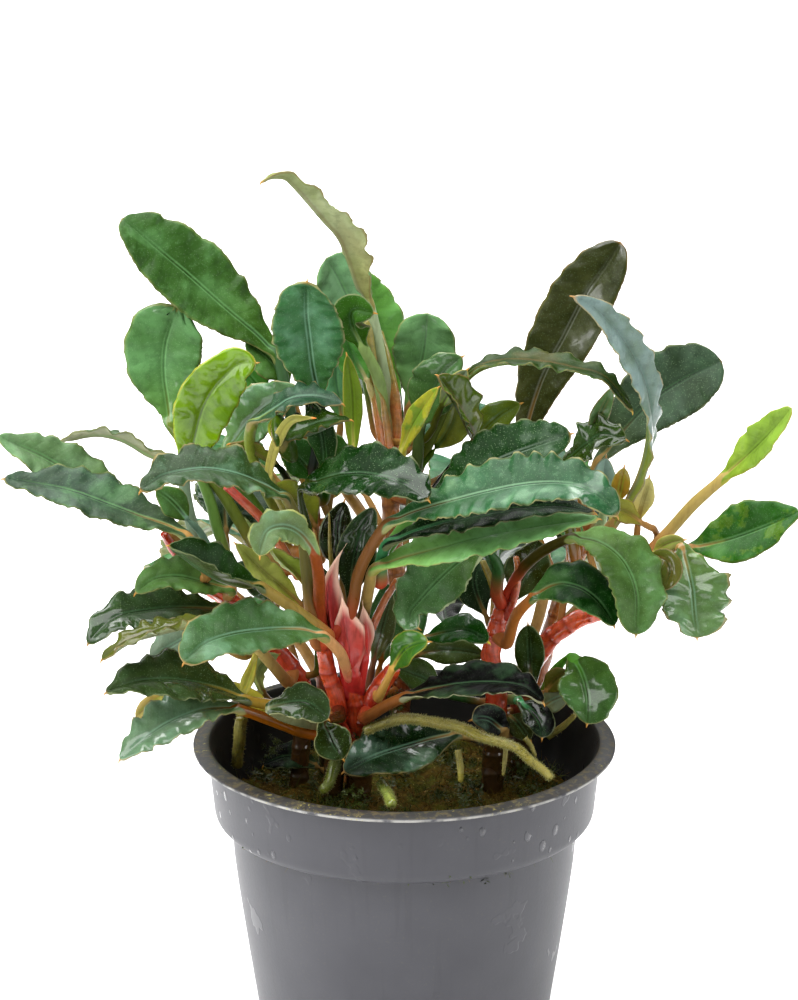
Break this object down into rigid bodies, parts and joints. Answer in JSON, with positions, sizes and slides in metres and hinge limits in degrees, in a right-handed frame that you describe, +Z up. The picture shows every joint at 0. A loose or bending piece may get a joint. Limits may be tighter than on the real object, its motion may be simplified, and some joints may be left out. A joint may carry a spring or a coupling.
{
  "type": "potted bucephalandra",
  "caption": "Bucephalandra aquarium plant in a round grey nursery pot: wavy glossy green leaves on red creeping stems, hairy roots and mossy growing wool.",
  "frame": {"origin": "centre of the pot's flat base, on the surface that it stands on", "axes": "+Z up along the pot's axis, -Y towards the side that shows the plant best, +X to the right from there"},
  "size_m": [0.1036, 0.0775, 0.1252],
  "materials": {
    "pot_plastic": "satin grey moulded plastic, wet, with water marks",
    "growing_wool": "wet brown mineral wool with green moss",
    "stem_red": "smooth red-orange stem with ringed nodes",
    "root_olive": "olive root with fine pale hairs",
    "leaf_dark": "wet glossy dark green leaf with fine pale dots",
    "leaf_mid": "glossy green leaf with fine pale dots",
    "leaf_blue": "glossy bluish green leaf with fine pale dots",
    "leaf_young": "young yellow-green leaf",
    "leaf_olive": "olive leaf underside with a brown midrib"
  },
  "bodies": {
    "root": {"growing_wool": "growing_wool", "leaf_01_tall_far_left": "leaf_mid", "leaf_02_broad_left": "leaf_mid", "leaf_03_young_yellow": "leaf_young", "leaf_04_edge_on_left": "leaf_dark", "leaf_05_far_left_upper": "leaf_mid", "leaf_06_long_far_left": "leaf_mid", "leaf_07_arching_left": "leaf_blue", "leaf_08_folded_left": "leaf_dark", "leaf_10_pale_cupped": "leaf_blue", "leaf_11_curling_left": "leaf_dark", "leaf_12_olive_edge_left": "leaf_olive", "leaf_14_broad_front_left": "leaf_blue", "leaf_15_dark_low_left": "leaf_dark", "leaf_16_lowest_left": "leaf_blue", "leaf_21_under_root": "leaf_blue", "leaf_22_long_front": "leaf_dark", "leaf_26_wide_glossy": "leaf_dark", "leaf_27_hero_right": "leaf_blue", "leaf_28_between_right": "leaf_dark", "leaf_29_long_right": "leaf_mid", "leaf_30_hanging": "leaf_mid", "leaf_31_arching_right": "leaf_mid", "leaf_32_dark_right": "leaf_dark", "leaf_33_crumpled_right": "leaf_blue", "leaf_36_far_right_young": "leaf_young", "leaf_37_far_right": "leaf_mid", "leaf_38_slender_upright": "leaf_blue", "leaf_39_tall_dark_right": "leaf_olive", "leaf_40_arch_right": "leaf_olive", "leaf_41_big_round_right": "leaf_dark", "leaf_42_dotted_dark": "leaf_dark", "leaf_43_crumpled_small": "leaf_dark", "leaf_47_folded_grey": "leaf_olive", "leaf_50_top_slender": "leaf_olive", "leaf_51_behind_top": "leaf_mid", "leaf_52_upright_blue": "leaf_blue", "leaf_56_bright_behind": "leaf_mid", "leaf_57_grey_behind": "leaf_mid", "leaf_58_dark_behind": "leaf_dark", "leaf_59_silvery_left": "leaf_blue", "leaf_60_arching_tip": "leaf_blue", "leaf_68_green_low_right": "leaf_mid", "leaf_71_behind": "leaf_dark", "leaf_72_behind": "leaf_dark", "leaf_73_behind": "leaf_dark", "leaf_74_behind": "leaf_dark", "leaf_77_behind": "leaf_dark", "leaf_78_behind": "leaf_dark", "pot": "pot_plastic", "root_green_front": "root_olive", "root_long_hairy": "root_olive", "root_pale_left": "root_olive", "stem_back": "stem_red", "stem_back_right": "stem_red", "stem_front": "stem_red", "stem_left": "stem_red", "stem_middle": "stem_red", "stem_right": "stem_red", "stem_upper_left": "stem_red"}
  },
  "joints": []
}
